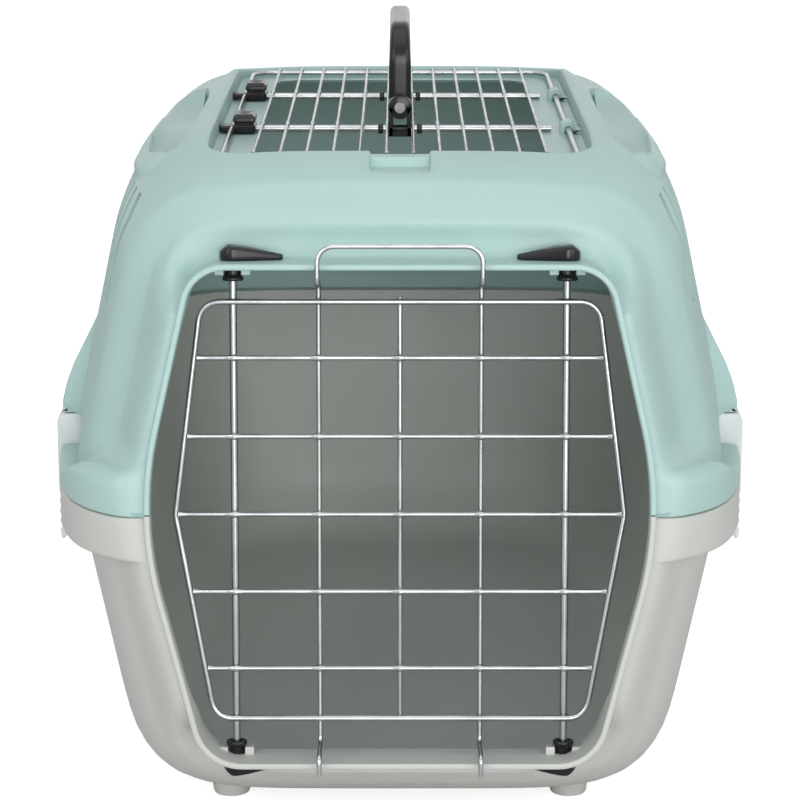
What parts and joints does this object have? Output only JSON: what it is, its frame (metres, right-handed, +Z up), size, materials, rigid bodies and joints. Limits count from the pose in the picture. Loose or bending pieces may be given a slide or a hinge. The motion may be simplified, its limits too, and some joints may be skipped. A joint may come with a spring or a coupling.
{
  "type": "pet carrier",
  "caption": "Two-shell plastic pet carrier with a lift-out wire front door, lock levers, a wire roof hatch with sliding latches and a folding handle, and side clips.",
  "frame": {"origin": "on the floor under the middle of the carrier, at the underside of its feet", "axes": "+X to the right seen from the door, +Y from the door to the back, +Z up"},
  "size_m": [0.3572, 0.5597, 0.386],
  "materials": {
    "mint_shell": "satin moulded, fine grain",
    "grey_shell": "satin moulded, fine grain",
    "pale_clip": "satin moulded",
    "black_plastic": "smooth moulded",
    "bright_wire": "bright zinc plated",
    "steel_pin": "drawn wire"
  },
  "bodies": {
    "shell": {"lower_tub": "grey_shell", "upper_cover": "mint_shell", "side_latch_pins": "steel_pin"},
    "door": {"door_frame_wire": "bright_wire", "door_cross_wires": "bright_wire", "door_centre_wire": "bright_wire", "door_loop_wire": "bright_wire", "door_rod_left": "bright_wire", "door_bush_top_left": "black_plastic", "door_bush_bottom_left": "black_plastic", "door_rod_right": "bright_wire", "door_bush_top_right": "black_plastic", "door_bush_bottom_right": "black_plastic"},
    "hatch": {"hatch_frame_wire": "bright_wire", "hatch_long_wires": "bright_wire", "hatch_rod_front": "bright_wire", "handle_bracket_front": "black_plastic", "handle_pin_front": "steel_pin", "hatch_rod_rear": "bright_wire", "handle_bracket_rear": "black_plastic", "handle_pin_rear": "steel_pin"},
    "slider_front": {"hatch_slider_front": "black_plastic"},
    "slider_rear": {"hatch_slider_rear": "black_plastic"},
    "handle": {"carry_handle": "black_plastic"},
    "lever_top_left": {"lock_lever_top_left": "black_plastic"},
    "lever_bottom_left": {"lock_lever_bottom_left": "black_plastic"},
    "latch_front_left": {"side_latch_front_left": "pale_clip"},
    "latch_rear_left": {"side_latch_rear_left": "pale_clip"},
    "lever_top_right": {"lock_lever_top_right": "black_plastic"},
    "lever_bottom_right": {"lock_lever_bottom_right": "black_plastic"},
    "latch_front_right": {"side_latch_front_right": "pale_clip"},
    "latch_rear_right": {"side_latch_rear_right": "pale_clip"}
  },
  "joints": [
    {"name": "door_swing", "type": "hinge", "parent": "shell", "child": "door", "pos_m": [-0.081, -0.24457, 0.16966], "axis": [0, -0.0976, -0.9952], "range_deg": [0, 110]},
    {"name": "hatch_swing", "type": "hinge", "parent": "shell", "child": "hatch", "pos_m": [0.09, -0.007, 0.3316], "axis": [0, 1, 0], "range_deg": [0, 100]},
    {"name": "slider_front_slide", "type": "slide", "parent": "hatch", "child": "slider_front", "axis": [-1, 0, 0], "range_m": [0, 0.004]},
    {"name": "slider_rear_slide", "type": "slide", "parent": "hatch", "child": "slider_rear", "axis": [-1, 0, 0], "range_m": [0, 0.004]},
    {"name": "handle_fold", "type": "hinge", "parent": "hatch", "child": "handle", "pos_m": [0, -0.007, 0.343], "axis": [0, 1, 0], "range_deg": [-85, 85]},
    {"name": "lever_top_left_turn", "type": "hinge", "parent": "shell", "child": "lever_top_left", "pos_m": [-0.081, -0.23261, 0.29158], "axis": [0, -0.0976, -0.9952], "range_deg": [0, 90]},
    {"name": "lever_bottom_left_turn", "type": "hinge", "parent": "shell", "child": "lever_bottom_left", "pos_m": [-0.081, -0.25697, 0.04317], "axis": [0, -0.0976, -0.9952], "range_deg": [0, 90]},
    {"name": "latch_front_left_turn", "type": "hinge", "parent": "shell", "child": "latch_front_left", "pos_m": [-0.16618, -0.13, 0.135], "axis": [0, -1, 0], "range_deg": [0, 70]},
    {"name": "latch_rear_left_turn", "type": "hinge", "parent": "shell", "child": "latch_rear_left", "pos_m": [-0.16618, 0.13, 0.135], "axis": [0, -1, 0], "range_deg": [0, 70]},
    {"name": "lever_top_right_turn", "type": "hinge", "parent": "shell", "child": "lever_top_right", "pos_m": [0.081, -0.23261, 0.29158], "axis": [0, 0.0976, 0.9952], "range_deg": [0, 90]},
    {"name": "lever_bottom_right_turn", "type": "hinge", "parent": "shell", "child": "lever_bottom_right", "pos_m": [0.081, -0.25697, 0.04317], "axis": [0, 0.0976, 0.9952], "range_deg": [0, 90]},
    {"name": "latch_front_right_turn", "type": "hinge", "parent": "shell", "child": "latch_front_right", "pos_m": [0.16618, -0.13, 0.135], "axis": [0, 1, 0], "range_deg": [0, 70]},
    {"name": "latch_rear_right_turn", "type": "hinge", "parent": "shell", "child": "latch_rear_right", "pos_m": [0.16618, 0.13, 0.135], "axis": [0, 1, 0], "range_deg": [0, 70]}
  ]
}
